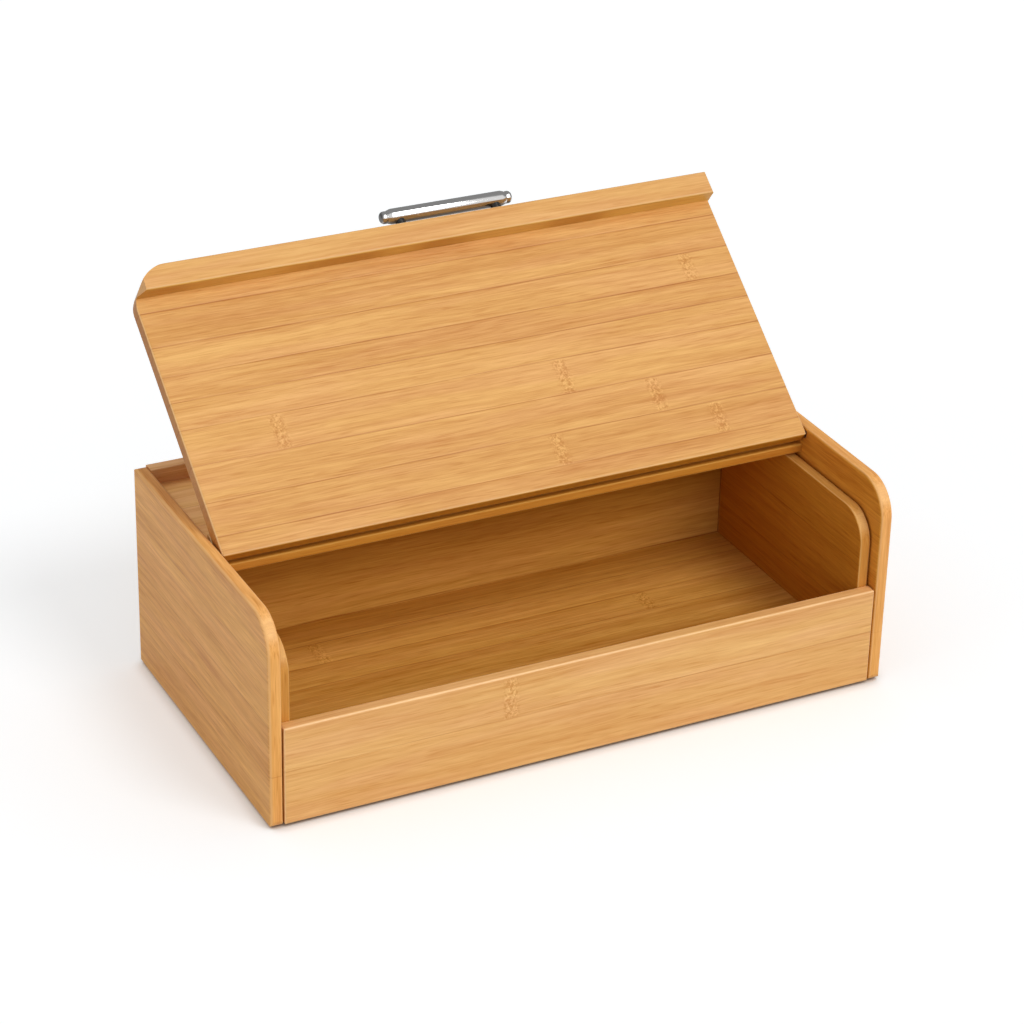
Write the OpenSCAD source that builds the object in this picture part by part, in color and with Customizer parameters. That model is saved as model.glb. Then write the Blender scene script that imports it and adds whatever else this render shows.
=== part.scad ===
// Bamboo bread box with a drawer and a lid that slides forward and flips up.
// Origin at the centre of the underside, +X to the right, +Y to the rear, +Z up.
// The lid is drawn as it closes, then turned about its pins to its open angle.

/* [Casing] */
// Width over the side boards
box_w = 400; // [340:1:460]
// Depth from the front edges of the side boards to the rear
box_d = 206; // [196:1:236]
// Height of the side boards
box_h = 132; // [120:1:150]
// Thickness of the side boards
side_t = 8; // [7:0.5:10]
// Radius of the rounded front top corner of a side board
side_corner_r = 23; // [12:1:32]
// Radius of the other corners of a side board
side_small_r = 5; // [1:0.5:6]
// Rounding along the edges of the side boards
side_edge_r = 2.2; // [0.6:0.1:3]
// Rounding along the edges of the other boards
edge_r = 1.4; // [0.6:0.1:1.6]
// Thickness of the base board
base_t = 8; // [6:0.5:10]
// Thickness of the back panel
back_t = 8; // [6:0.5:10]
// Thickness of the deck board that the closed lid lies on
deck_t = 8; // [6:0.5:9]
// Distance from the front to the front edge of the deck board, over which the open lid's pins lie
deck_setback = 92.5; // [80:0.5:100]
// Depth of the relief along the front of the deck board
deck_relief = 2.2; // [1.6:0.1:3]
// Length of the relief along the front of the deck board
deck_relief_len = 8; // [7:0.5:12]
// Gap between a side board and a board that moves beside it
side_gap = 0.6; // [0.4:0.1:1]

/* [Lid] */
// Thickness of the lid panel
lid_t = 10; // [9:0.5:11]
// Gap between the end of the lid and a side board
lid_gap = 0.8; // [0.5:0.1:1.5]
// Distance from the front of the box to the closed lid's free edge
lid_setback = 0.5; // [0:0.5:2]
// Angle that the lid turns through from closed to open
lid_angle = 142; // [120:1:145]
// Radius of the lid's free corner on the left
lid_corner_r = 24; // [4:1:30]
// Radius of the lid's other corners
lid_small_r = 2; // [1:0.5:4]
// Radius of the lid's rear outer edge
lid_rear_r = 3; // [2.5:0.5:3.5]
// Depth of the nose bar along the lid's free edge
nose_w = 15.5; // [12:0.5:24]
// Height by which the nose bar stands proud of the lid's inner face
nose_drop = 10.2; // [6:0.1:10.4]
// Radius of the nose bar's outer edge
nose_r = 10; // [4:0.5:15]
// Slope of the nose bar's left end, measured across the width
nose_bevel = 6; // [0:0.5:12]
// Thickness of the spline that joins the nose bar to the panel
spline_t = 3; // [2:0.5:4]
// Width of the spline
spline_w = 12; // [8:1:16]

/* [Pivot] */
// Diameter of the pivot pins
pin_d = 2.4; // [2:0.1:2.6]
// Radial clearance of a pin in its shoe
pin_fit = 0.05; // [0.02:0.01:0.1]
// Length of a pin inside the lid
pin_hold = 14; // [8:1:20]
// Distance from the lid's rear edge to the pin
pin_inset = 3.6; // [3.2:0.1:4]
// Distance from the lid's inner face to the pin
pin_rise = 5.2; // [4.8:0.1:5.4]
// Height of a shoe
shoe_h = 4.4; // [4:0.1:4.6]
// Thickness of a shoe across the groove
shoe_t = 4; // [3:0.1:4.2]
// Length of the shoe ahead of the pin
shoe_nose = 4; // [3:0.5:6]
// Width of the leg that enters the carriage bar
leg_w = 4; // [3:0.5:4]
// Length of the leg inside the carriage bar
leg_hold = 14; // [8:1:20]
// Clearance of a shoe in its groove, above, below and at the bottom
groove_gap = 0.3; // [0.2:0.05:0.4]
// Gap between the pin and the front face of the carriage bar
bar_gap = 6.4; // [6.4:0.1:7]
// Depth of the carriage bar
bar_w = 10.6; // [10:0.1:10.8]
// Gap between moving wooden faces
slip = 0.3; // [0.2:0.05:0.4]
// Gap between the carriage bar and the back panel when the lid is closed
bar_clear = 0.6; // [0.4:0.1:2]
// Wood left behind the leg in the carriage bar
leg_wall = 1.4; // [1:0.1:2]
// Diameter of the screws in the carriage bar
bar_screw_d = 2; // [1.5:0.1:3]

/* [Handle] */
// Length of the handle bar over its ends
handle_len = 88.5; // [70:0.5:120]
// Diameter of the handle bar
handle_d = 9.6; // [8:0.2:12]
// Length of the cone at each end of the bar
handle_cone = 5.4; // [3:0.2:10]
// Diameter of the bar at the small end of its cones
handle_end_d = 7; // [5:0.2:7.6]
// Radius of the rounded rim at each end of the bar
handle_rim_r = 1.8; // [0.6:0.1:2.2]
// Distance from the lid's free edge to the centre of the bar
handle_reach = 11; // [10:0.5:20]
// Depth of the bar's middle below the lid's outer face
handle_drop = 8.4; // [5:0.2:10]
// Distance between the two feet
handle_feet_gap = 64; // [50:1:80]
// Diameter of the feet
foot_d = 6.4; // [5:0.2:7.5]
// Distance from the middle of the lid to the middle of the handle
handle_shift = 19; // [-20:1:20]
// Depth of a foot inside the nose bar
foot_hold = 6; // [4:0.5:8]
// Diameter of the handle screws
screw_d = 3; // [2.5:0.1:3.5]
// Length of a handle screw beyond its foot
screw_len = 8; // [4:0.5:8]

/* [Drawer] */
// Height of the drawer front's top edge
front_h = 63.8; // [50:0.1:80]
// Gap under the drawer front
front_clear = 1; // [0.5:0.1:2]
// Thickness of the drawer front
front_t = 8; // [7:0.5:10]
// Thickness of the drawer's side walls and back
wall_t = 7; // [6:0.5:8]
// Gap between the top of the drawer's walls and the lid's nose bar, or the deck board if it is lower
wall_clear = 0.8; // [0.5:0.1:3]
// Radius of the front top corner of a drawer side wall
wall_corner_r = 20; // [6:1:24]
// Gap between a drawer side wall and the casing's side board
wall_gap = 1; // [0.5:0.1:2]
// Length of the stop blocks between the drawer and the back panel
stop_len = 19.2; // [10:0.2:40]
// Width of a stop block
stop_w = 30; // [12:1:60]
// Height of a stop block
stop_h = 24; // [8:1:60]
// Distance from the middle of the box to a stop block
stop_x = 96; // [40:1:120]
// Thickness of the drawer floor
floor_t = 6; // [4:0.5:8]
// Height of the top of the drawer floor above the table
floor_h = 21; // [20:0.5:30]
// Depth of the groove that holds the drawer floor
floor_groove = 3; // [2:0.5:4]
// Height of the runner strips
runner_h = 2; // [1:0.5:3]
// Width of the runner strips
runner_w = 6; // [4:0.5:7]

/* [Joinery] */
// Diameter of the dowels
dowel_d = 4; // [3:0.5:4]
// Length of the dowels
dowel_len = 18; // [12:1:24]
// Depth of a dowel in the board that it enters from the side
dowel_in = 5; // [4:0.5:5]

/* [Hidden] */
$fn = 64;
over = 1;
front_y = -box_d / 2;
rear_y = box_d / 2;
in_w = box_w - 2 * side_t;
back_y = rear_y - back_t;
lid_w = in_w - 2 * lid_gap;
bar_front = bar_gap;
bar_rear = bar_gap + bar_w;
leg_rear = bar_rear - leg_wall;
lid_len = box_d - back_t - lid_setback + pin_inset - bar_rear - bar_clear;
// The pin lies at the origin of the lid's own frame, with the lid closed and its outer face up.
lid_outer = lid_t - pin_rise;
lid_inner = -pin_rise;
lid_rear = pin_inset;
lid_front = pin_inset - lid_len;
nose_rear = lid_front + nose_w;
nose_low = lid_inner - nose_drop;
pin_z = box_h - lid_outer;
closed_y = front_y + lid_setback + lid_len - pin_inset;
deck_top = pin_z + lid_inner - slip;
deck_front = front_y + deck_setback;
open_y = deck_front;
groove_h = shoe_h + 2 * groove_gap;
groove_depth = shoe_t + groove_gap;
wall_x = in_w / 2 - wall_gap;
floor_z = floor_h - floor_t;
wall_low = base_t + runner_h + slip;
wall_h = min(pin_z + nose_low, deck_top - deck_t) - wall_clear;
drawer_front_back = front_y + front_t;
drawer_rear = back_y - stop_len - slip;
handle_z = lid_outer - handle_drop;
foot_back = lid_front + foot_hold;

bamboo = "#dcaa6c";
bamboo_light = "#e6b87e";
bamboo_dark = "#b98346";
steel = "#b9bcc0";

// The piece between a square corner at the origin and a quarter circle of radius r.
module corner_cut(r) {
    if (r > 0) difference() {
        translate([-over, -over]) square(r + over);
        translate([r, r]) circle(r);
    }
}

// A rectangle with four rounded corners: [near low, far low, far high, near high].
module rounded_rect(size, r) {
    difference() {
        square(size);
        corner_cut(r[0]);
        translate([size[0], 0]) mirror([1, 0]) corner_cut(r[1]);
        translate(size) rotate(180) corner_cut(r[2]);
        translate([0, size[1]]) mirror([0, 1]) corner_cut(r[3]);
    }
}

// Draws a profile of the Y-Z plane as a body that runs along X.
module along_x(length) {
    rotate([90, 0, 90]) linear_extrude(length) children();
}

// Draws a profile of the X-Z plane as a body that runs along +Y.
module along_y(length) {
    translate([0, length, 0]) rotate([90, 0, 0]) linear_extrude(length) children();
}

// A board with every edge rounded.
module eased_board(size, r = edge_r) {
    all = [r, r, r, r];
    intersection() {
        along_x(size[0]) rounded_rect([size[1], size[2]], all);
        along_y(size[1]) rounded_rect([size[0], size[2]], all);
        linear_extrude(size[2]) rounded_rect([size[0], size[1]], all);
    }
}

// What is cut from both edges of a board, which lies from x = 0 to its thickness, to round them along
// its front top corner of radius R. The corner's centre is the origin.
module arc_edges(thickness, R, r) {
    for (face = [0, 1]) translate([face * thickness, 0, 0]) mirror([face, 0, 0]) rotate([0, 90, 0])
        rotate([0, 0, 180]) rotate_extrude(angle = 90) translate([R, 0]) mirror([1, 0]) corner_cut(r);
}

// A dowel hole or dowel along X from the origin.
module dowel_x(length) {
    rotate([0, 90, 0]) cylinder(d = dowel_d, h = length, $fn = 32);
}

// Dowels of the right-hand casing joints: [y, z] of each.
base_dowels = [for (f = [0.12, 0.5, 0.88]) [front_y + f * box_d, base_t / 2]];
back_dowels = [for (f = [0.2, 0.5, 0.8]) [rear_y - back_t / 2, f * box_h]];
deck_dowels = [for (f = [0.3, 0.7]) [deck_front + f * (back_y - deck_front), deck_top - deck_t / 2]];
side_dowels = concat(base_dowels, back_dowels, deck_dowels);

module casing_dowel_set() {
    for (p = side_dowels) translate([in_w / 2 + dowel_in - dowel_len, p[0], p[1]]) dowel_x(dowel_len);
}

module both_sides() {
    children();
    mirror([1, 0, 0]) children();
}

// ---- Casing ----

module side_board() {
    corners = [side_small_r, side_small_r, side_small_r, side_corner_r];
    edges = [side_edge_r, side_edge_r, side_edge_r, side_edge_r];
    difference() {
        translate([in_w / 2, front_y, 0]) intersection() {
            along_x(side_t) rounded_rect([box_d, box_h], corners);
            linear_extrude(box_h) rounded_rect([side_t, box_d], edges);
            along_y(box_d) rounded_rect([side_t, box_h], edges);
        }
        translate([in_w / 2, front_y + side_corner_r, box_h - side_corner_r])
            arc_edges(side_t, side_corner_r, side_edge_r);
        shoe_groove();
        casing_dowel_set();
    }
}

// The blind groove that a shoe slides in, open towards the middle of the box.
module shoe_groove() {
    groove_front = open_y - shoe_nose - groove_gap;
    groove_end = closed_y + bar_rear + groove_gap;
    translate([in_w / 2 - over, groove_front, pin_z - groove_h / 2])
        cube([groove_depth + over, groove_end - groove_front, groove_h]);
}

module left_side() {
    color(bamboo) mirror([1, 0, 0]) side_board();
}

module right_side() {
    color(bamboo) side_board();
}

module base_board() {
    base_front = drawer_front_back + slip;
    color(bamboo) difference() {
        translate([-in_w / 2, base_front, 0]) cube([in_w, back_y - base_front, base_t]);
        both_sides() casing_dowel_set();
    }
}

module back_panel() {
    color(bamboo) difference() {
        translate([-in_w / 2, back_y, 0])
            along_x(in_w) rounded_rect([back_t, box_h], [edge_r, edge_r, edge_r, edge_r]);
        both_sides() casing_dowel_set();
    }
}

// Its front is relieved so that the lid's lower edge clears it as the lid turns.
module deck_board() {
    color(bamboo) difference() {
        translate([-in_w / 2, deck_front, deck_top - deck_t]) along_x(in_w) difference() {
            square([back_y - deck_front, deck_t]);
            translate([0, deck_t - deck_relief]) mirror([0, 1]) corner_cut(edge_r);
            corner_cut(edge_r);
            translate([-over, deck_t - deck_relief]) square([deck_relief_len + over, deck_relief + over]);
        }
        both_sides() casing_dowel_set();
    }
}

module runner() {
    runner_x = wall_x - wall_t / 2 - runner_w / 2;
    color(bamboo_dark) translate([runner_x, drawer_front_back + 2, base_t])
        cube([runner_w, back_y - drawer_front_back - 4, runner_h]);
}

module left_runner() {
    mirror([1, 0, 0]) runner();
}

module right_runner() {
    runner();
}

// Two blocks on the base board that the drawer meets when it is pushed in.
module drawer_stops() {
    color(bamboo_dark) both_sides() translate([stop_x, back_y - stop_len, base_t])
        cube([stop_w, stop_len, stop_h]);
}

module casing_dowels() {
    color(bamboo_light) both_sides() casing_dowel_set();
}

// ---- Lid carriage ----

module at_pin() {
    translate([0, open_y, pin_z]) children();
}

// The leg of a shoe, or its mortise in the bar.
module shoe_leg() {
    translate([in_w / 2 - leg_hold, leg_rear - leg_w, -shoe_h / 2]) cube([leg_hold + slip, leg_w, shoe_h]);
}

// The screw that holds a leg in the bar, from the bar's underside; below it by `below` for its hole.
module carriage_screw(below) {
    translate([in_w / 2 - leg_hold / 2, leg_rear - leg_w / 2, lid_inner - below])
        cylinder(d = bar_screw_d, h = below - lid_inner + shoe_h / 2, $fn = 32);
}

// Its sloping front is the rest that the open lid leans on.
module carriage_bar() {
    turn = 180 - lid_angle;
    rest_y = (lid_outer + slip) * sin(turn);
    rest_z = -(lid_outer + slip) * cos(turn);
    low_z = rest_z + (bar_front - rest_y) * tan(turn);
    top_y = rest_y + (lid_outer - rest_z) / tan(turn);
    color(bamboo) at_pin() difference() {
        translate([-in_w / 2 + side_gap, 0, 0]) along_x(in_w - 2 * side_gap)
            polygon([[bar_front, lid_inner], [bar_front, low_z], [top_y, lid_outer], [bar_rear, lid_outer],
                [bar_rear, lid_inner]]);
        both_sides() shoe_leg();
        both_sides() carriage_screw(over);
    }
}

module shoe() {
    color(steel) at_pin() difference() {
        union() {
            translate([in_w / 2 + slip, -shoe_nose, -shoe_h / 2])
                cube([shoe_t - slip, shoe_nose + bar_rear, shoe_h]);
            shoe_leg();
        }
        translate([in_w / 2, 0, 0]) rotate([0, 90, 0])
            cylinder(r = pin_d / 2 + pin_fit, h = shoe_t + over, $fn = 48);
        carriage_screw(over);
    }
}

module left_shoe() {
    mirror([1, 0, 0]) shoe();
}

module right_shoe() {
    shoe();
}

module carriage_screws() {
    color(steel) at_pin() both_sides() carriage_screw(0);
}

// ---- Lid ----

module on_lid() {
    at_pin() rotate([-lid_angle, 0, 0]) children();
}

// The outline of the closed lid seen from above.
module lid_outline() {
    translate([-lid_w / 2, lid_front])
        rounded_rect([lid_w, lid_len], [lid_corner_r, lid_small_r, lid_small_r, lid_small_r]);
}

module lid_pin_set(length_in) {
    both_sides() translate([lid_w / 2 - length_in, 0, 0]) rotate([0, 90, 0])
        cylinder(d = pin_d, h = length_in + lid_gap + shoe_t - slip, $fn = 48);
}

module spline_bar() {
    spline_z = (lid_outer + lid_inner) / 2 - spline_t / 2;
    spline_x = lid_w / 2 - lid_corner_r - 6;
    translate([-spline_x, nose_rear - spline_w / 2, spline_z]) cube([2 * spline_x, spline_w, spline_t]);
}

module lid_panel() {
    color(bamboo_light) on_lid() difference() {
        intersection() {
            translate([0, 0, lid_inner]) linear_extrude(lid_t) lid_outline();
            translate([-lid_w / 2, nose_rear, lid_inner]) along_x(lid_w)
                rounded_rect([lid_rear - nose_rear, lid_t], [0, edge_r, lid_rear_r, 0]);
            translate([-lid_w / 2, lid_front, lid_inner]) along_y(lid_len)
                rounded_rect([lid_w, lid_t], [edge_r, edge_r, edge_r, edge_r]);
        }
        lid_pin_set(pin_hold);
        spline_bar();
    }
}

// The thick bar along the free edge; its left end slopes in with the rounded corner.
module lid_nose() {
    nose_h = lid_outer - nose_low;
    color(bamboo_light) on_lid() difference() {
        intersection() {
            translate([0, 0, nose_low]) linear_extrude(nose_h) lid_outline();
            translate([-lid_w / 2, lid_front, nose_low]) along_x(lid_w)
                rounded_rect([nose_w, nose_h], [edge_r, edge_r, 0, nose_r]);
            translate([-lid_w / 2, lid_front, nose_low]) along_y(nose_w)
                rounded_rect([lid_w, nose_h], [edge_r, edge_r, edge_r, edge_r]);
        }
        translate([-lid_w / 2, lid_front - over, 0]) along_y(nose_w + 2 * over)
            polygon([[-over, lid_inner], [0, lid_inner], [nose_bevel, nose_low],
                [nose_bevel, nose_low - over], [-over, nose_low - over]]);
        spline_bar();
        handle_screw_set();
        handle_foot_set();
    }
}

module nose_spline() {
    color(bamboo_dark) on_lid() spline_bar();
}

module lid_pins() {
    color(steel) on_lid() lid_pin_set(pin_hold);
}

// ---- Handle ----

module at_feet() {
    for (side = [-1, 1]) translate([handle_shift + side * handle_feet_gap / 2, 0, handle_z]) children();
}

module handle_foot_set() {
    bar_y = lid_front - handle_reach;
    at_feet() translate([0, foot_back, 0]) rotate([90, 0, 0]) cylinder(d = foot_d, h = foot_back - bar_y);
}

module handle_screw_set() {
    at_feet() translate([0, foot_back + screw_len, 0]) rotate([90, 0, 0])
        cylinder(d = screw_d, h = screw_len, $fn = 32);
}

// Half of the bar's section: its middle, a cone at each end, and a rounded rim beyond each cone.
module handle_profile() {
    rim_z = handle_len / 2 - handle_rim_r;
    end_r = handle_end_d / 2;
    polygon([[0, -rim_z], [end_r, -rim_z], [handle_d / 2, -rim_z + handle_cone],
        [handle_d / 2, rim_z - handle_cone], [end_r, rim_z], [0, rim_z]]);
    for (side = [-1, 1]) translate([0, side * rim_z]) intersection() {
        union() {
            translate([end_r - handle_rim_r, 0]) circle(handle_rim_r);
            translate([0, -handle_rim_r]) square([end_r - handle_rim_r, 2 * handle_rim_r]);
        }
        translate([0, side > 0 ? 0 : -handle_rim_r]) square([end_r, handle_rim_r]);
    }
}

module bar_solid() {
    translate([handle_shift, lid_front - handle_reach, handle_z]) rotate([0, 90, 0])
        rotate_extrude() handle_profile();
}

module handle_bar() {
    color(steel) on_lid() bar_solid();
}

module handle_feet() {
    color(steel) on_lid() difference() {
        handle_foot_set();
        bar_solid();
    }
}

module handle_screws() {
    color(steel) on_lid() handle_screw_set();
}

// ---- Drawer ----

// Dowels above the floor: from the drawer front into a side wall, and from that wall into the rear wall.
module drawer_dowel_set() {
    for (f = [0.2, 0.75])
        translate([wall_x - wall_t / 2, drawer_front_back - dowel_in, floor_h + f * (front_h - floor_h)])
            rotate([-90, 0, 0]) cylinder(d = dowel_d, h = dowel_len, $fn = 32);
    rear_x = wall_x - wall_t + dowel_in - dowel_len;
    for (f = [0.15, 0.5, 0.85])
        translate([rear_x, drawer_rear - wall_t / 2, floor_h + f * (wall_h - floor_h)]) dowel_x(dowel_len);
}

module floor_space() {
    grow = floor_groove;
    translate([-wall_x + wall_t - grow, drawer_front_back - grow, floor_z])
        cube([2 * (wall_x - wall_t + grow), drawer_rear - wall_t - drawer_front_back + 2 * grow, floor_t]);
}

module drawer_front() {
    width = in_w - 2 * side_gap;
    color(bamboo) difference() {
        translate([-width / 2, front_y, front_clear]) eased_board([width, front_t, front_h - front_clear]);
        floor_space();
        both_sides() drawer_dowel_set();
    }
}

module drawer_side() {
    length = drawer_rear - drawer_front_back;
    height = wall_h - wall_low;
    color(bamboo) difference() {
        translate([wall_x - wall_t, drawer_front_back, wall_low]) intersection() {
            along_x(wall_t) rounded_rect([length, height], [0, 0, edge_r, wall_corner_r]);
            along_y(length) rounded_rect([wall_t, height], [0, 0, edge_r, edge_r]);
            linear_extrude(height) rounded_rect([wall_t, length], [edge_r, edge_r, 0, 0]);
        }
        translate([wall_x - wall_t, drawer_front_back + wall_corner_r, wall_h - wall_corner_r])
            arc_edges(wall_t, wall_corner_r, edge_r);
        floor_space();
        drawer_dowel_set();
    }
}

module drawer_left_side() {
    mirror([1, 0, 0]) drawer_side();
}

module drawer_right_side() {
    drawer_side();
}

module drawer_back() {
    width = 2 * (wall_x - wall_t);
    color(bamboo) difference() {
        translate([-width / 2, drawer_rear - wall_t, wall_low]) along_x(width)
            rounded_rect([wall_t, wall_h - wall_low], [0, 0, edge_r, edge_r]);
        floor_space();
        both_sides() drawer_dowel_set();
    }
}

module drawer_floor() {
    color(bamboo) floor_space();
}

module drawer_dowels() {
    color(bamboo_light) both_sides() drawer_dowel_set();
}

left_side();
right_side();
base_board();
back_panel();
deck_board();
left_runner();
right_runner();
drawer_stops();
casing_dowels();
carriage_bar();
left_shoe();
right_shoe();
carriage_screws();
lid_panel();
lid_nose();
nose_spline();
lid_pins();
handle_bar();
handle_feet();
handle_screws();
drawer_front();
drawer_left_side();
drawer_right_side();
drawer_back();
drawer_floor();
drawer_dowels();
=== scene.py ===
import bpy
import bmesh
import math
from mathutils import Matrix, Vector


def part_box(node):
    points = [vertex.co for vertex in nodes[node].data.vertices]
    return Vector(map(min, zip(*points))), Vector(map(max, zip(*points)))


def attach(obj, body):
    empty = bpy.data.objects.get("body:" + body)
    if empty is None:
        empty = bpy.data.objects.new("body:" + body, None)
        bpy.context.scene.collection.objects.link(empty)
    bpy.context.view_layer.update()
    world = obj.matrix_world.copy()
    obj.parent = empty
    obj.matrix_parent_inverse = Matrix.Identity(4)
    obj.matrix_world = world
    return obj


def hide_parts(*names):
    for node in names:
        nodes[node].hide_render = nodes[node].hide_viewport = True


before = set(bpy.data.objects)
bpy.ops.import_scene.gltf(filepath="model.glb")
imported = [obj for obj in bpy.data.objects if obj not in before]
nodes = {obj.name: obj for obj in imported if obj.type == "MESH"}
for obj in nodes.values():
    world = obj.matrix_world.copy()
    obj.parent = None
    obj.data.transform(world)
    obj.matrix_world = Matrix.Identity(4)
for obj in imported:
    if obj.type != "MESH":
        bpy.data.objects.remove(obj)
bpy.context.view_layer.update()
print("frame loaded:", len(nodes), "nodes")

# the lid's own space, as it is drawn before it turns: x along the pins, -y to the free edge, -z the inner face
lidSpace = {"pin": (0, -0.0105, 0.1272), "openAngle": 142}
lidTurn = Matrix.Rotation(math.radians(-lidSpace["openAngle"]), 4, "X")
boxToLid = (Matrix.Translation(lidSpace["pin"]) @ lidTurn).inverted()


def mm(*values):
    return [value / 1000 for value in values]


def fromSrgb(red, green, blue):
    # 0-255 picture values to the linear colour that a socket takes
    def one(value):
        value /= 255
        return value / 12.92 if value <= 0.04045 else ((value + 0.055) / 1.055) ** 2.4
    return (one(red), one(green), one(blue), 1)


# helpers that add nodes to a tree and return the socket that carries the result

def plug(tree, socket, value):
    # a socket is linked to another socket, or gets a plain value, or stays as it is with None
    if isinstance(value, bpy.types.NodeSocket):
        tree.links.new(value, socket)
    elif value is not None:
        socket.default_value = value


def newGroup(name, inputs, outputs):
    # a shader node group, with the sockets that it is given and those that it makes
    tree = bpy.data.node_groups.new(name, "ShaderNodeTree")
    for label, kind, value in inputs:
        socket = tree.interface.new_socket(label, in_out="INPUT", socket_type="NodeSocket" + kind)
        if value is not None:
            socket.default_value = value
    for label, kind in outputs:
        tree.interface.new_socket(label, in_out="OUTPUT", socket_type="NodeSocket" + kind)
    return tree, tree.nodes.new("NodeGroupInput").outputs, tree.nodes.new("NodeGroupOutput").inputs


def placeGroup(tree, group, **values):
    node = tree.nodes.new("ShaderNodeGroup")
    node.node_tree = group
    for label, value in values.items():
        plug(tree, node.inputs[label.replace("_", " ")], value)
    return node


def maths(tree, operation, *values):
    node = tree.nodes.new("ShaderNodeMath")
    node.operation = operation
    for socket, value in zip(node.inputs, values):
        plug(tree, socket, value)
    return node.outputs[0]


def distance(tree, first, second):
    return maths(tree, "ABSOLUTE", maths(tree, "SUBTRACT", first, second))


def swing(tree, value, size, middle=0.5):
    # a 0-1 value as a swing of this size round zero
    return maths(tree, "MULTIPLY", maths(tree, "SUBTRACT", value, middle), size)


def remap(tree, value, low, high, toLow=0.0, toHigh=1.0, smooth=True):
    node = tree.nodes.new("ShaderNodeMapRange")
    node.interpolation_type = "SMOOTHSTEP" if smooth else "LINEAR"
    for socket, item in zip(node.inputs, (value, low, high, toLow, toHigh)):
        plug(tree, socket, item)
    return node.outputs[0]


def vectorMaths(tree, operation, *values):
    node = tree.nodes.new("ShaderNodeVectorMath")
    node.operation = operation
    for socket, value in zip(node.inputs, values):
        plug(tree, socket, value)
    return node.outputs["Value" if operation == "DOT_PRODUCT" else "Vector"]


def splitVector(tree, vector):
    node = tree.nodes.new("ShaderNodeSeparateXYZ")
    plug(tree, node.inputs[0], vector)
    return node.outputs


def joinVector(tree, *values):
    node = tree.nodes.new("ShaderNodeCombineXYZ")
    for socket, value in zip(node.inputs, values):
        plug(tree, socket, value)
    return node.outputs[0]


def inOrder(tree, vector, order):
    # a vector with its parts in another order, such as "YZX"
    parts = splitVector(tree, vector)
    return joinVector(tree, *[parts["XYZ".index(letter)] for letter in order])


def mixed(tree, share, first, second, kind="RGBA", mode="MIX"):
    node = tree.nodes.new("ShaderNodeMix")
    node.data_type = kind
    node.blend_type = mode
    # the Mix node has its own sockets for each kind of value
    start, out = {"FLOAT": (2, 0), "VECTOR": (4, 1), "RGBA": (6, 2)}[kind]
    plug(tree, node.inputs[0], share)
    plug(tree, node.inputs[start], first)
    plug(tree, node.inputs[start + 1], second)
    return node.outputs[out]


def tinted(tree, colour, tint):
    return mixed(tree, 1.0, colour, tint, mode="MULTIPLY")


def stretchedNoise(tree, place, stretch, detail=1.0, roughness=0.55, distortion=0.0):
    # noise whose grains are 1 / stretch metres long along each axis
    node = tree.nodes.new("ShaderNodeTexNoise")
    plug(tree, node.inputs["Vector"], vectorMaths(tree, "MULTIPLY", place, stretch))
    node.inputs["Scale"].default_value = 1
    node.inputs["Detail"].default_value = detail
    node.inputs["Roughness"].default_value = roughness
    node.inputs["Distortion"].default_value = distortion
    return node.outputs["Fac"]


# effects that more than one material uses, each a node group

def makeGlueLine():
    # one more glue line: counts the strips below it and darkens a thin line
    tree, given, made = newGroup("glueLine", [
        ("Across", "Float", 0), ("Line At", "Float", 0), ("Width", "Float", 0.0008),
        ("Strip", "Float", 0), ("Line", "Float", 0)], [("Strip", "Float"), ("Line", "Float")])
    past = maths(tree, "GREATER_THAN", given["Across"], given["Line At"])
    plug(tree, made["Strip"], maths(tree, "ADD", given["Strip"], past))
    away = distance(tree, given["Across"], given["Line At"])
    near = remap(tree, away, 0, given["Width"], 1, 0)
    plug(tree, made["Line"], maths(tree, "MAXIMUM", given["Line"], near))
    return tree


def makeStalkRing():
    # one more ring of the bamboo stalk, which crosses a strip as a short ragged patch
    tree, given, made = newGroup("stalkRing", [
        ("Along", "Float", 0), ("Across", "Float", 0), ("Ring Along", "Float", 0), ("Ring Across", "Float", 0),
        ("Length", "Float", 0.007), ("Width", "Float", 0.012), ("Ring", "Float", 0)], [("Ring", "Float")])
    along = maths(tree, "DIVIDE", distance(tree, given["Along"], given["Ring Along"]), given["Length"])
    across = maths(tree, "DIVIDE", distance(tree, given["Across"], given["Ring Across"]), given["Width"])
    near = maths(tree, "MULTIPLY", remap(tree, along, 0.15, 1, 1, 0), remap(tree, across, 0.85, 1.05, 1, 0))
    plug(tree, made["Ring"], maths(tree, "MAXIMUM", given["Ring"], near))
    return tree


def makeFaceShade():
    # painted shade on one face of a board, or on the face towards the middle of the box: how far a point lies on
    # it
    tree, given, made = newGroup("faceShade", [
        ("Place", "Vector", None), ("Facing", "Vector", None), ("Face", "Vector", None), ("Inward", "Float", 0)],
        [("Share", "Float")])
    towards = vectorMaths(tree, "DOT_PRODUCT", given["Facing"], given["Face"])
    side = maths(tree, "SIGN", vectorMaths(tree, "DOT_PRODUCT", given["Place"], given["Face"]))
    inwards = maths(tree, "MULTIPLY", maths(tree, "MULTIPLY", towards, side), -1)
    chosen = mixed(tree, given["Inward"], towards, inwards, "FLOAT")
    plug(tree, made["Share"], remap(tree, chosen, 0.55, 0.95))
    return tree


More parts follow.
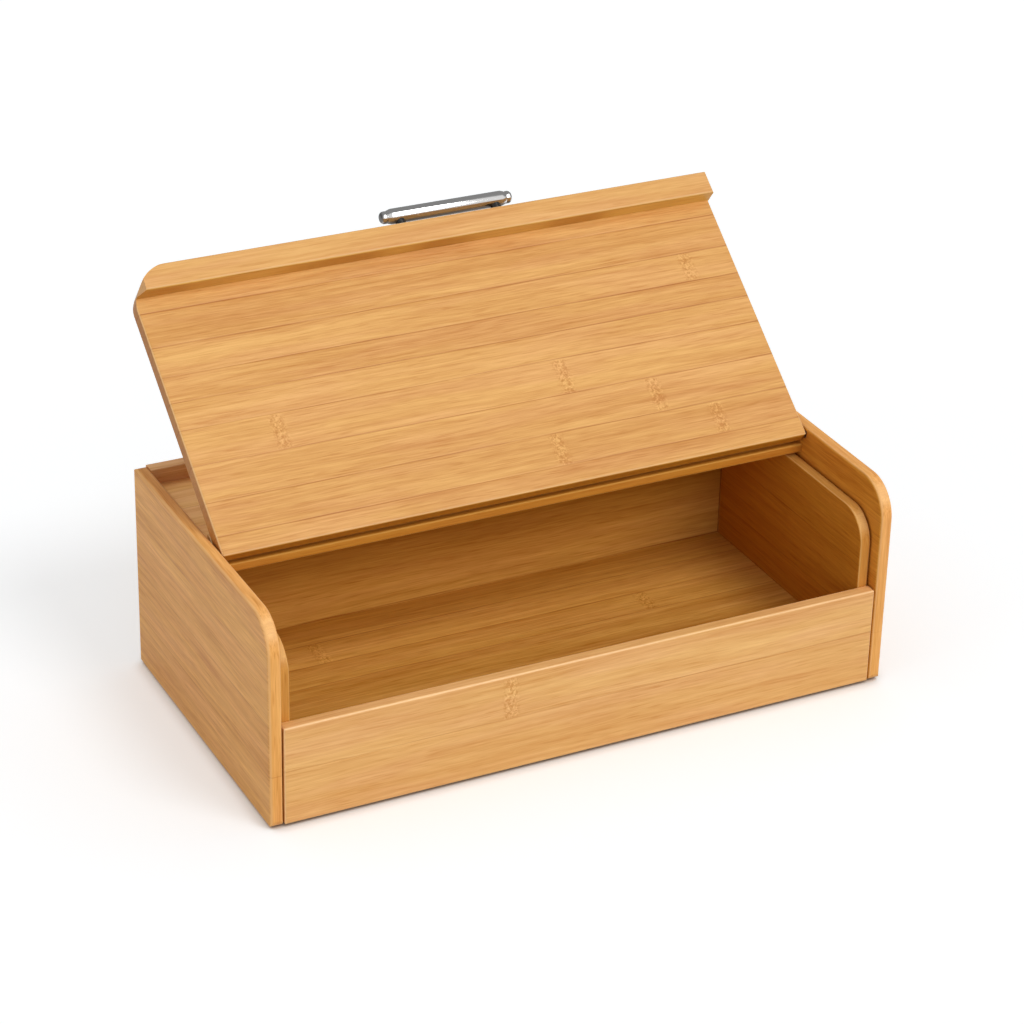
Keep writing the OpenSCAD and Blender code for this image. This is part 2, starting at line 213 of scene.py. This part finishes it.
def makeEdgeBand():
    # on a board's front end the fibres are taken up the edge, and only one seam shows
    tree, given, made = newGroup("edgeBand", [
        ("Place", "Vector", None), ("Facing", "Vector", None), ("Strip", "Float", 0), ("Line", "Float", 0),
        ("Seam At", "Float", 0), ("Seam Width", "Float", 0.0005)],
        [("Place", "Vector"), ("Strip", "Float"), ("Line", "Float")])
    onEnd = remap(tree, maths(tree, "ABSOLUTE", splitVector(tree, given["Facing"])[0]), 0.55, 0.8)
    upright = inOrder(tree, given["Place"], "YXZ")
    plug(tree, made["Place"], mixed(tree, onEnd, given["Place"], upright, "VECTOR"))
    away = distance(tree, splitVector(tree, given["Place"])[1], given["Seam At"])
    seam = maths(tree, "MULTIPLY", remap(tree, away, 0, given["Seam Width"], 1, 0), onEnd)
    faceLine = maths(tree, "MULTIPLY", given["Line"], maths(tree, "SUBTRACT", 1.0, onEnd))
    plug(tree, made["Line"], maths(tree, "ADD", faceLine, seam))
    onFace = maths(tree, "LESS_THAN", onEnd, 0.5)
    plug(tree, made["Strip"], maths(tree, "MULTIPLY", given["Strip"], onFace))
    return tree


shadedMetalLook = {"towardsLid": (0, -0.51, -0.86), "colour": (0.03, 0.025, 0.02, 1), "rougher": 0.4}


def makeMetal(look):
    # faint smears along a piece of metal, and painted shade and dark reflection where it faces the lid and on the
    # bar's tips
    tree, given, made = newGroup("metal", [
        ("Place", "Vector", None), ("Facing", "Vector", None), ("Tone", "Color", (1, 1, 1, 1)),
        ("Polish", "Float", 0.1), ("Smears", "Float", 0.1), ("Tarnish", "Float", 0)],
        [("Color", "Color"), ("Roughness", "Float")])
    smear = stretchedNoise(tree, given["Place"], (60, 220, 220), 3)
    tone = mixed(tree, smear, tinted(tree, given["Tone"], (0.88, 0.88, 0.88, 1)), given["Tone"])
    towardsLid = vectorMaths(tree, "DOT_PRODUCT", given["Facing"], look["towardsLid"])
    along = maths(tree, "ABSOLUTE", vectorMaths(tree, "DOT_PRODUCT", given["Facing"], (1, 0, 0)))
    hidden = maths(tree, "MAXIMUM", remap(tree, towardsLid, 0.62, 0.86), remap(tree, along, 0.45, 0.9))
    darkShare = maths(tree, "MULTIPLY", hidden, given["Tarnish"])
    plug(tree, made["Color"], mixed(tree, darkShare, tone, look["colour"]))
    rougher = maths(tree, "ADD", maths(tree, "MULTIPLY", remap(tree, smear, 0.3, 0.8), given["Smears"]),
                    maths(tree, "MULTIPLY", darkShare, look["rougher"]))
    plug(tree, made["Roughness"], maths(tree, "ADD", given["Polish"], rougher))
    return tree


# each layer of the wood: grains per metre along, across and through the board, and its size in the tone
grainLook = {
    "stripShift": (3, 0.7, 0.7),
    "sway": (9, 40, 40), "swaySize": 0.004, "stir": (260, 150, 150), "stirSize": 0.005,
    "broad": (5, 90, 90), "broadSize": 0.75, "streak": (13, 420, 420), "streakSize": 1.1,
    "fine": (60, 1300, 1300), "fineSize": 0.7, "dash": (70, 1300, 1300), "dashSize": 0.22,
    "fleck": (640, 480, 480), "fleckSize": 3.1, "fleckMiddle": 0.53,
    "rosy": (11, 75, 75), "rosyTint": (1.0, 0.975, 1.07, 1),
    "dots": (60, 1300, 1300), "dotSize": 0.45, "endTint": (226, 205, 176), "endRougher": 0.12,
    "fade": (14, 3, 3), "glueTint": (214, 180, 140),
    "wearAndHighlightTint": (1, 0.84, 0.55, 1), "rubbedSmoother": 0.08,
    "pores": (40, 800, 800), "streakRougher": 0.16}


def makeBamboo(look):
    # the wood itself, in a board's own space: x along the fibres, y across the strips, z through the board
    tree, given, made = newGroup("bamboo", [
        ("Place", "Vector", None), ("Facing", "Vector", None), ("Strip", "Float", 0), ("Seed", "Float", 0),
        ("Line", "Float", 0), ("Ring", "Float", 0), ("Pale", "Color", (1, 1, 1, 1)),
        ("Deep", "Color", (1, 1, 1, 1)), ("Streaks", "Float", 1), ("Strip Change", "Float", 0.2),
        ("Line Depth", "Float", 0.6), ("Polish", "Float", 0.45), ("Cut End", "Float", 0.5),
        ("Eased", "Float", 0.4), ("Deepened", "Float", 0), ("Deepen", "Color", (1, 1, 1, 1))],
        [("Color", "Color"), ("Roughness", "Float"), ("Height", "Float")])
    ring = given["Ring"]

    # every strip is cut from another place in the stalk
    own = tree.nodes.new("ShaderNodeTexWhiteNoise")
    own.noise_dimensions = "2D"
    plug(tree, own.inputs["Vector"], joinVector(tree, given["Strip"], given["Seed"]))
    shifted = vectorMaths(tree, "MULTIPLY_ADD", own.outputs["Color"], look["stripShift"], given["Place"])

    # fibres sway a little, and more where they pass a ring
    sway = swing(tree, stretchedNoise(tree, shifted, look["sway"]), look["swaySize"])
    stir = swing(tree, stretchedNoise(tree, shifted, look["stir"]), look["stirSize"])
    push = maths(tree, "ADD", sway, maths(tree, "MULTIPLY", stir, ring))
    fibrePlace = vectorMaths(tree, "ADD", shifted, joinVector(tree, 0, push, 0))

    # the tone goes from 0, deep, to 1, pale
    streak = stretchedNoise(tree, fibrePlace, look["streak"], 2, 0.6)
    dash = remap(tree, stretchedNoise(tree, fibrePlace, look["dash"], 0), 0.60, 0.78)
    tone = swing(tree, stretchedNoise(tree, fibrePlace, look["broad"]), look["broadSize"])
    tone = maths(tree, "ADD", tone, swing(tree, streak, look["streakSize"]))
    tone = maths(tree, "ADD", tone,
                 swing(tree, stretchedNoise(tree, fibrePlace, look["fine"], 1, 0.6), look["fineSize"]))
    tone = maths(tree, "SUBTRACT", tone, maths(tree, "MULTIPLY", dash, look["dashSize"]))
    tone = maths(tree, "MULTIPLY", tone, given["Streaks"])
    tone = maths(tree, "ADD", tone, swing(tree, own.outputs["Value"], given["Strip Change"]))
    tone = maths(tree, "ADD", tone, 0.5)

    # flecks of a ring, dark and light
    fleck = stretchedNoise(tree, shifted, look["fleck"], 2, 0.6, 0.6)
    fleck = maths(tree, "MULTIPLY", swing(tree, fleck, look["fleckSize"], look["fleckMiddle"]), ring)
    tone = maths(tree, "ADD", tone, fleck)
    tone = maths(tree, "MINIMUM", maths(tree, "MAXIMUM", tone, 0), 1.15)
    colour = mixed(tree, tone, given["Deep"], given["Pale"])
    rosy = remap(tree, stretchedNoise(tree, shifted, look["rosy"]), 0.38, 0.66)
    colour = mixed(tree, rosy, colour, tinted(tree, colour, look["rosyTint"]))

    # cut ends show the fibres as dots on browner wood
    endways = maths(tree, "ABSOLUTE", splitVector(tree, given["Facing"])[0])
    cutEnd = maths(tree, "MULTIPLY", remap(tree, endways, 0.72, 0.9), given["Cut End"])
    colour = mixed(tree, cutEnd, colour, tinted(tree, colour, fromSrgb(*look["endTint"])))
    dots = tree.nodes.new("ShaderNodeTexVoronoi")
    plug(tree, dots.inputs["Vector"], vectorMaths(tree, "MULTIPLY", given["Place"], look["dots"]))
    dots.inputs["Scale"].default_value = 1
    dotted = maths(tree, "MULTIPLY", remap(tree, dots.outputs["Distance"], 0.18, 0.45, 1, 0), cutEnd)
    colour = mixed(tree, maths(tree, "MULTIPLY", dotted, look["dotSize"]), colour, given["Deep"])

    # glue lines come and go along the board
    fade = remap(tree, stretchedNoise(tree, shifted, look["fade"]), 0.35, 0.65, 0.15, 1)
    line = maths(tree, "MULTIPLY", maths(tree, "MULTIPLY", given["Line"], fade), given["Line Depth"])
    colour = mixed(tree, line, colour, tinted(tree, given["Deep"], fromSrgb(*look["glueTint"])))

    # eased edges, which face between two axes, are painted paler, partly as wear and partly as a painted
    # highlight
    #     # along the arris, and are rubbed a little smoother
    sizes = splitVector(tree, vectorMaths(tree, "ABSOLUTE", given["Facing"]))
    flat = maths(tree, "MAXIMUM", sizes[0], maths(tree, "MAXIMUM", sizes[1], sizes[2]))
    eased = remap(tree, flat, 0.80, 0.985, 1, 0)
    wornAndHighlit = mixed(tree, 0.5, given["Pale"], look["wearAndHighlightTint"])
    colour = mixed(tree, maths(tree, "MULTIPLY", eased, given["Eased"]), colour, wornAndHighlit)
    # painted shade: the colour is tinted darker where a board lies in shade, or lifted on a shaded face
    paintedShade = tinted(tree, colour, given["Deepen"])
    plug(tree, made["Color"], mixed(tree, given["Deepened"], colour, paintedShade))

    rough = maths(tree, "ADD", given["Polish"], swing(tree, streak, look["streakRougher"]))
    rough = maths(tree, "ADD", rough, maths(tree, "MULTIPLY", cutEnd, look["endRougher"]))
    rough = maths(tree, "SUBTRACT", rough, maths(tree, "MULTIPLY", eased, look["rubbedSmoother"]))
    plug(tree, made["Roughness"], rough)
    pores = stretchedNoise(tree, given["Place"], look["pores"])
    plug(tree, made["Height"], maths(tree, "SUBTRACT", pores, given["Line"]))
    return tree


glueLine = makeGlueLine()
stalkRing = makeStalkRing()
faceShade = makeFaceShade()
edgeBand = makeEdgeBand()
bamboo = makeBamboo(grainLook)
metal = makeMetal(shadedMetalLook)
print("shared effects made")


def newMaterial(name):
    material = bpy.data.materials.new(name)
    material.use_nodes = True
    tree = material.node_tree
    tree.nodes.clear()
    surface = tree.nodes.new("ShaderNodeBsdfPrincipled")
    out = tree.nodes.new("ShaderNodeOutputMaterial")
    tree.links.new(surface.outputs[0], out.inputs[0])
    return material, tree, surface


def toLidSpace(tree, vector, kind):
    # a place (POINT) or a direction (VECTOR) in the lid's own space
    node = tree.nodes.new("ShaderNodeMapping")
    node.vector_type = kind
    node.inputs["Rotation"].default_value = boxToLid.to_euler()
    if kind == "POINT":
        node.inputs["Location"].default_value = boxToLid.to_translation()
    plug(tree, node.inputs[0], vector)
    return node.outputs[0]


# the same for every board, but a board's own look may name another gloss
woodLook = {"ior": 1.45, "gloss": 0.35, "bump": 0.25, "bumpDepth": 0.0004}


def bambooMaterial(name, look):
    material, tree, surface = newMaterial(name)
    coords = tree.nodes.new("ShaderNodeTexCoord")
    place, facing = coords.outputs["Object"], coords.outputs["Normal"]
    if look.get("onLid"):
        place, facing = toLidSpace(tree, place, "POINT"), toLidSpace(tree, facing, "VECTOR")
    place, facing = inOrder(tree, place, look["grain"]), inOrder(tree, facing, look["grain"])
    along, across = splitVector(tree, place)[:2]
    strip, line, ring, paintedShade = 0.0, 0.0, 0.0, 0.0
    for lineAt in look["glueLines"]:
        made = placeGroup(tree, glueLine, Across=across, Line_At=lineAt, Width=look.get("lineWidth"),
                          Strip=strip, Line=line).outputs
        strip, line = made["Strip"], made["Line"]
    for ringAlong, ringAcross, width in look["rings"]:
        made = placeGroup(tree, stalkRing, Along=along, Across=across, Ring_Along=ringAlong,
                          Ring_Across=ringAcross, Width=width / 2, Ring=ring).outputs
        ring = made["Ring"]
    if "endLine" in look:
        fromMiddle = maths(tree, "ABSOLUTE", along)
        made = placeGroup(tree, glueLine, Across=fromMiddle, Line_At=look["endLine"], Line=line).outputs
        line = made["Line"]
    if "endSeam" in look:
        made = placeGroup(tree, edgeBand, Place=place, Facing=facing, Strip=strip, Line=line,
                          Seam_At=look["endSeam"]).outputs
        place, strip, line = made["Place"], made["Strip"], made["Line"]
    # painted shade on one face of the board, such as a rear end or an inner face
    if "shadedFace" in look:
        made = placeGroup(tree, faceShade, Place=place, Facing=facing, Face=look["shadedFace"],
                          Inward=look.get("inward")).outputs
        paintedShade = made["Share"]
    # painted shade that grows across the board, where it lies under the deck or the lid
    if "shadeAcross" in look:
        paintedShade = maths(tree, "MAXIMUM", paintedShade, remap(tree, across, *look["shadeAcross"], smooth=False))
    made = placeGroup(
        tree, bamboo, Place=place, Facing=facing, Strip=strip, Seed=look["seed"], Line=line, Ring=ring,
        Pale=fromSrgb(*look["pale"]), Deep=fromSrgb(*look["deep"]), Streaks=look["streaks"],
        Strip_Change=look["stripChange"], Line_Depth=look["lineDepth"], Polish=look["polish"],
        Cut_End=look.get("cutEnd"), Eased=look.get("eased"), Deepened=paintedShade,
        Deepen=fromSrgb(*look["shadeTint"]) if "shadeTint" in look else None).outputs
    plug(tree, surface.inputs["Base Color"], made["Color"])
    plug(tree, surface.inputs["Roughness"], made["Roughness"])
    surface.inputs["IOR"].default_value = woodLook["ior"]
    surface.inputs["Specular IOR Level"].default_value = look.get("gloss", woodLook["gloss"])
    bump = tree.nodes.new("ShaderNodeBump")
    bump.inputs["Strength"].default_value = woodLook["bump"]
    bump.inputs["Distance"].default_value = woodLook["bumpDepth"]
    plug(tree, bump.inputs["Height"], made["Height"])
    plug(tree, surface.inputs["Normal"], bump.outputs[0])
    return material


# The boards. Their grain names the axes along the fibres, across the strips and through the board. A ring is its
# place along, its place across and its width. The shade tint is painted shade: it tints the shaded face, and
# grows from the first to the second place across the board, where the board lies in shade under the deck or the
# lid.
# the lid's rear end face is painted in shade
lidLook = {
    "grain": "XYZ", "onLid": True, "seed": 3,
    "glueLines": mm(-154.2, -131.4, -111.7, -95.0, -77.0, -53.5, -30.0, -8.5),
    "rings": [mm(-133, -65, 23.5), mm(51, -65, 23.5), mm(105, -42, 23.5), mm(139, -19, 21.5),
              mm(31, -19, 21.5), mm(159, -122, 19.7)],
    "pale": (228, 175, 102), "deep": (192, 128, 59), "shadedFace": (0, 1, 0), "shadeTint": (222, 196, 102),
    "streaks": 1.0, "stripChange": 0.34, "lineDepth": 0.72, "polish": 0.42, "cutEnd": 1.0}
# the nose's face towards the pins lies in shade and is painted lighter and yellower: painted light
noseLook = {
    "grain": "XYZ", "onLid": True, "seed": 8, "glueLines": mm(-164.4), "rings": [],
    "pale": (233, 183, 113), "deep": (197, 134, 65), "shadedFace": (0, 1, 0), "shadeTint": (264, 270, 222),
    "streaks": 0.8, "stripChange": 0.2, "lineDepth": 0.6, "polish": 0.42, "cutEnd": 1.0}
frontLook = {
    "grain": "XZY", "seed": 5, "glueLines": mm(35.5), "rings": [mm(-51, 49, 27)],
    "pale": (245, 196, 126), "deep": (209, 147, 78),
    "streaks": 0.82, "stripChange": 0.1, "lineDepth": 0.55, "polish": 0.42}
# the inner faces of the sides are painted in shade
sideLook = {
    "grain": "YZX", "seed": 9, "glueLines": mm(34, 66, 99), "rings": [], "endSeam": 0.034,
    "pale": (254, 194, 114), "deep": (212, 142, 66), "shadedFace": (0, 0, 1), "inward": 1.0,
    "shadeTint": (228, 208, 140), "streaks": 1.1, "stripChange": 0.15, "lineDepth": 0.4, "polish": 0.45,
    "cutEnd": 0.2, "eased": 0.25, "gloss": 0.2}
backLook = {
    "grain": "XZY", "seed": 12, "glueLines": mm(24, 48, 74, 100), "rings": [mm(-90, 61, 26), mm(70, 87, 26)],
    "pale": (246, 204, 148), "deep": (210, 156, 96),
    "streaks": 1.0, "stripChange": 0.2, "lineDepth": 0.6, "polish": 0.45, "gloss": 0.25}
# the deck's front face and front strip are painted in shade, and its eased edges carry a painted highlight
deckLook = {
    "grain": "XYZ", "seed": 15, "glueLines": mm(12, 36, 60, 82), "rings": [mm(-120, 48, 24), mm(60, 24, 24)],
    "pale": (250, 208, 142), "deep": (220, 164, 94), "shadedFace": (0, -1, 0), "shadeAcross": (-0.003, -0.007),
    "shadeTint": (204, 168, 100), "streaks": 1.0, "stripChange": 0.2, "lineDepth": 0.6, "polish": 0.45,
    "eased": 0.9, "gloss": 0.06}
baseLook = {
    "grain": "XYZ", "seed": 19, "glueLines": mm(-70, -45, -20, 5, 30, 55, 80), "rings": [mm(10, 42, 25)],
    "pale": (236, 184, 120), "deep": (196, 132, 70),
    "streaks": 1.0, "stripChange": 0.25, "lineDepth": 0.6, "polish": 0.5}
# the drawer's floor is painted darker towards its back, a painted shade
drawerFloorLook = {
    "grain": "XYZ", "seed": 21, "glueLines": mm(-62, -32, -2, 20, 44),
    "rings": [mm(-112, 32, 24), mm(98, 9, 22)],
    "pale": (226, 170, 84), "deep": (182, 119, 40), "shadeAcross": (0.030, 0.068), "shadeTint": (222, 212, 176),
    "streaks": 1.0, "stripChange": 0.2, "lineDepth": 0.6, "polish": 0.45, "gloss": 0.15}
# the drawer's back is painted darker towards its top, the painted shade under the deck
drawerBackLook = {
    "grain": "XZY", "seed": 25, "glueLines": mm(21.6, 76), "lineWidth": 0.0012, "rings": [], "endLine": 0.1834,
    "pale": (216, 162, 78), "deep": (172, 113, 39), "shadeAcross": (0.042, 0.072), "shadeTint": (212, 196, 126),
    "streaks": 0.85, "stripChange": 0.15, "lineDepth": 1.0, "polish": 0.45, "eased": 0.15, "gloss": 0.15}
# the inner faces of the drawer's sides are painted in shade
drawerSideLook = {
    "grain": "YZX", "seed": 27, "glueLines": mm(21.3, 44, 78), "rings": [], "endSeam": 0.044,
    "pale": (232, 176, 92), "deep": (190, 124, 48), "shadedFace": (0, 0, 1), "inward": 1.0,
    "shadeTint": (226, 200, 130), "streaks": 0.9, "stripChange": 0.2, "lineDepth": 0.6, "polish": 0.45,
    "cutEnd": 0.45, "eased": 0.2, "gloss": 0.15}
darkLook = {
    "grain": "XYZ", "seed": 31, "glueLines": [], "rings": [], "pale": (176, 118, 62), "deep": (128, 78, 36),
    "streaks": 0.9, "stripChange": 0.1, "lineDepth": 0.0, "polish": 0.5}
dowelLook = {
    "grain": "XYZ", "seed": 35, "glueLines": [], "rings": [], "pale": (238, 200, 146), "deep": (206, 156, 98),
    "streaks": 0.8, "stripChange": 0.1, "lineDepth": 0.0, "polish": 0.5}


def coat(material, *nodeNames):
    for nodeName in nodeNames:
        slots = nodes[nodeName].data.materials
        slots.clear()
        slots.append(material)


coat(bambooMaterial("bambooLid", lidLook), "lid_panel")
coat(bambooMaterial("bambooNose", noseLook), "lid_nose")
coat(bambooMaterial("bambooFront", frontLook), "drawer_front")
coat(bambooMaterial("bambooSides", sideLook), "left_side", "right_side")
coat(bambooMaterial("bambooBack", backLook), "back_panel")
coat(bambooMaterial("bambooDeck", deckLook), "deck_board", "carriage_bar")
coat(bambooMaterial("bambooBase", baseLook), "base_board")
coat(bambooMaterial("bambooDrawerFloor", drawerFloorLook), "drawer_floor")
coat(bambooMaterial("bambooDrawerBack", drawerBackLook), "drawer_back")
coat(bambooMaterial("bambooDrawerSides", drawerSideLook), "drawer_left_side", "drawer_right_side")
coat(bambooMaterial("bambooDark", darkLook), "left_runner", "right_runner", "drawer_stops", "nose_spline")
coat(bambooMaterial("dowelWood", dowelLook), "casing_dowels", "drawer_dowels")
print("boards finished")

# the chrome carries painted shade and dark reflection on the bar's lid side and tips
chromeLook = {"colour": (0.84, 0.83, 0.82), "polish": 0.10, "smears": 0.06, "paintedDarkShare": 0.8}
# the handle's feet: metal painted near black, a painted shade and dark reflection
shadedFeetLook = {"colour": (0.10, 0.095, 0.09), "polish": 0.22, "smears": 0.10}
steelLook = {"colour": (0.50, 0.50, 0.51), "polish": 0.34, "smears": 0.12}


def metalMaterial(name, look):
    material, tree, surface = newMaterial(name)
    coords = tree.nodes.new("ShaderNodeTexCoord")
    made = placeGroup(tree, metal, Place=coords.outputs["Object"], Facing=coords.outputs["Normal"],
                      Tone=look["colour"] + (1,), Polish=look["polish"], Smears=look["smears"],
                      Tarnish=look.get("paintedDarkShare")).outputs
    plug(tree, surface.inputs["Base Color"], made["Color"])
    plug(tree, surface.inputs["Roughness"], made["Roughness"])
    surface.inputs["Metallic"].default_value = 1
    return material


chrome = metalMaterial("chrome", chromeLook)
coat(metalMaterial("steel", steelLook), "left_shoe", "right_shoe", "carriage_screws", "lid_pins", "handle_screws")
coat(metalMaterial("shadedFeetMetal", shadedFeetLook), "handle_feet")
print("metals finished")

# the handle bar: a turned rod with a coned shoulder, a fine groove and a rounded cap at each end
barLook = {"length": 0.0885, "radius": 0.00479, "bevel": 0.0003, "shoulder": 0.0028, "groove": 0.00014,
           "cap": 0.0042, "capRadius": 0.0039, "capStraight": 0.4, "tip": 0.0005, "sides": 72, "roundSteps": 12}


def barProfile(look):
    # distance from the middle and radius, from the middle to the tip of one end
    half = look["length"] / 2
    groove, bevel, radius, capRadius = look["groove"], look["bevel"], look["radius"], look["capRadius"]
    capStart = half - look["cap"]
    shoulderStart = capStart - groove - look["shoulder"]
    points = [(0, radius), (shoulderStart - bevel, radius), (shoulderStart + bevel, radius - bevel / 2),
              (capStart - groove, capRadius - groove / 2), (capStart - groove / 2, capRadius - groove),
              (capStart, capRadius - groove / 2), (capStart + groove, capRadius)]
    curveStart = capStart + look["cap"] * look["capStraight"]
    for step in range(look["roundSteps"] + 1):
        angle = math.pi / 2 * step / look["roundSteps"]
        points.append((curveStart + (half - curveStart) * math.sin(angle),
                       look["tip"] + (capRadius - look["tip"]) * math.cos(angle)))
    return points


def turnedBar(name, look, middle):
    oneEnd = barProfile(look)
    profile = [(-along, radius) for along, radius in reversed(oneEnd)] + oneEnd[1:]
    angles = [math.tau * turn / look["sides"] for turn in range(look["sides"])]
    mesh = bmesh.new()
    rings = []
    for along, radius in profile:
        rings.append([mesh.verts.new((middle[0] + along, middle[1] + radius * math.cos(angle),
                                      middle[2] + radius * math.sin(angle))) for angle in angles])
    for first, second in zip(rings, rings[1:]):
        for turn in range(look["sides"]):
            after = (turn + 1) % look["sides"]
            mesh.faces.new((first[turn], first[after], second[after], second[turn]))
    mesh.faces.new(rings[0])
    mesh.faces.new(reversed(rings[-1]))
    bmesh.ops.recalc_face_normals(mesh, faces=mesh.faces)
    for face in mesh.faces:
        face.smooth = len(face.verts) == 4
    data = bpy.data.meshes.new(name)
    mesh.to_mesh(data)
    mesh.free()
    piece = bpy.data.objects.new(name, data)
    bpy.context.scene.collection.objects.link(piece)
    return piece


barLow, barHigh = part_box("handle_bar")
barMiddle = [(low + high) / 2 for low, high in zip(barLow, barHigh)]
bar = turnedBar("handleBar", barLook, barMiddle)
bar.data.materials.append(chrome)
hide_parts("handle_bar")
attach(bar, "lid")
print("handle turned")

# the paper floor: what the camera and reflections see is lifted to white, what lights the box stays grey
paperLook = {"size": 8, "height": -0.0004, "seen": (0.95, 0.98, 1.0, 1), "bounce": (0.65, 0.65, 0.65, 1),
             "lift": 0.33, "reach": 0.013, "darkest": 0.06, "contactShadowTint": (0.55, 0.32, 0.12, 1)}
bpy.ops.mesh.primitive_plane_add(size=paperLook["size"], location=(0, 0, paperLook["height"]))
floor = bpy.context.object
floor.name = "floor"
floorMaterial = bpy.data.materials.new("floorPaper")
floorMaterial.use_nodes = True
tree = floorMaterial.node_tree
tree.nodes.clear()
matt = tree.nodes.new("ShaderNodeBsdfDiffuse")
lift = tree.nodes.new("ShaderNodeEmission")
rays = tree.nodes.new("ShaderNodeLightPath").outputs
glossy = maths(tree, "MAXIMUM", rays["Is Glossy Ray"], rays["Is Transmission Ray"])
seen = maths(tree, "MAXIMUM", rays["Is Camera Ray"], glossy)
# right at the foot of a board the paper is painted dark and brown: a painted contact shadow
nearby = tree.nodes.new("ShaderNodeAmbientOcclusion")
nearby.samples = 8
nearby.inputs["Distance"].default_value = paperLook["reach"]
openness = remap(tree, nearby.outputs["AO"], 0, 0.9, paperLook["darkest"], 1)
lifted = maths(tree, "MULTIPLY", maths(tree, "MULTIPLY", seen, paperLook["lift"]), openness)
plug(tree, lift.inputs["Strength"], lifted)
paper = mixed(tree, seen, paperLook["bounce"], paperLook["seen"])
plug(tree, matt.inputs["Color"], mixed(tree, openness, tinted(tree, paper, paperLook["contactShadowTint"]), paper))
both = tree.nodes.new("ShaderNodeAddShader")
out = tree.nodes.new("ShaderNodeOutputMaterial")
tree.links.new(matt.outputs[0], both.inputs[0])
tree.links.new(lift.outputs[0], both.inputs[1])
tree.links.new(both.outputs[0], out.inputs[0])
floor.data.materials.append(floorMaterial)

# the sky: white to the camera, soft light on the box, and in reflections brighter at the front than at the rear
skyLook = {"ambient": 0.56, "front": 0.80, "rear": 0.27, "fadeFrom": -0.42, "fadeTo": -0.14}
world = bpy.data.worlds.new("studio")
bpy.context.scene.world = world
world.use_nodes = True
tree = world.node_tree
tree.nodes.clear()
rays = tree.nodes.new("ShaderNodeLightPath").outputs
depth = splitVector(tree, tree.nodes.new("ShaderNodeTexCoord").outputs["Generated"])[1]
mirrored = remap(tree, depth, skyLook["fadeFrom"], skyLook["fadeTo"], skyLook["front"], skyLook["rear"])
plain = mixed(tree, rays["Is Camera Ray"], skyLook["ambient"], 1.0, "FLOAT")
glossy = maths(tree, "MAXIMUM", rays["Is Glossy Ray"], rays["Is Transmission Ray"])
sky = tree.nodes.new("ShaderNodeBackground")
sky.inputs["Color"].default_value = (1, 1, 1, 1)
plug(tree, sky.inputs["Strength"], mixed(tree, glossy, plain, mirrored, "FLOAT"))
out = tree.nodes.new("ShaderNodeOutputWorld")
tree.links.new(sky.outputs[0], out.inputs[0])

# the front lamp's long shadow would reach the white paper, the left lamp would burn a spot on the bar's cap, and
# the rear lamp fills the corner behind the lid alone
lamps = [
    {"name": "keyLamp", "towards": (0.28, -0.47, 0.84), "strength": 0.56, "spread": 20},
    {"name": "frontLamp", "towards": (0.20, -0.80, 0.56), "strength": 1.35, "spread": 34, "spares": [floor]},
    {"name": "leftLamp", "towards": (-0.97, -0.22, 0.03), "strength": 0.45, "spread": 20, "spares": [bar]},
    {"name": "rearLamp", "towards": (-0.42, 0.30, 0.86), "strength": 0.66, "spread": 30,
     "only": [nodes["deck_board"], nodes["back_panel"]]},
]
for lamp in lamps:
    data = bpy.data.lights.new(lamp["name"], "SUN")
    data.energy = lamp["strength"]
    data.angle = math.radians(lamp["spread"])
    item = bpy.data.objects.new(lamp["name"], data)
    bpy.context.scene.collection.objects.link(item)
    item.rotation_euler = Vector(lamp["towards"]).to_track_quat("Z", "Y").to_euler()
    for key, state in (("spares", "EXCLUDE"), ("only", "INCLUDE")):
        if key in lamp:
            receivers = bpy.data.collections.new(lamp["name"] + "Receivers")
            for number, piece in enumerate(lamp[key]):
                receivers.objects.link(piece)
                receivers.collection_objects[number].light_linking.link_state = state
            item.light_linking.receiver_collection = receivers

# the camera at the photograph's viewing angle
photoView = {"place": (-0.77175, -1.5052, 0.9996), "azimuth": -27.115, "elevation": 27.785, "roll": 1.436,
             "lens": 113.39, "sensor": 36}
azimuth, elevation = math.radians(photoView["azimuth"]), math.radians(photoView["elevation"])
backward = Vector((math.sin(azimuth) * math.cos(elevation), -math.cos(azimuth) * math.cos(elevation),
                   math.sin(elevation)))
rightward = Vector((math.cos(azimuth), math.sin(azimuth), 0))
upward = backward.cross(rightward)
roll = math.radians(photoView["roll"])
rolledRight = rightward * math.cos(roll) + upward * math.sin(roll)
rolledUp = backward.cross(rolledRight)
cameraTurn = Matrix((rolledRight, rolledUp, backward)).transposed().to_4x4()
cameraData = bpy.data.cameras.new("camera")
cameraData.lens = photoView["lens"]
cameraData.sensor_width = photoView["sensor"]
camera = bpy.data.objects.new("camera", cameraData)
bpy.context.scene.collection.objects.link(camera)
camera.matrix_world = Matrix.Translation(photoView["place"]) @ cameraTurn
bpy.context.scene.camera = camera
bpy.context.scene.view_settings.view_transform = "Standard"
print("stage set")
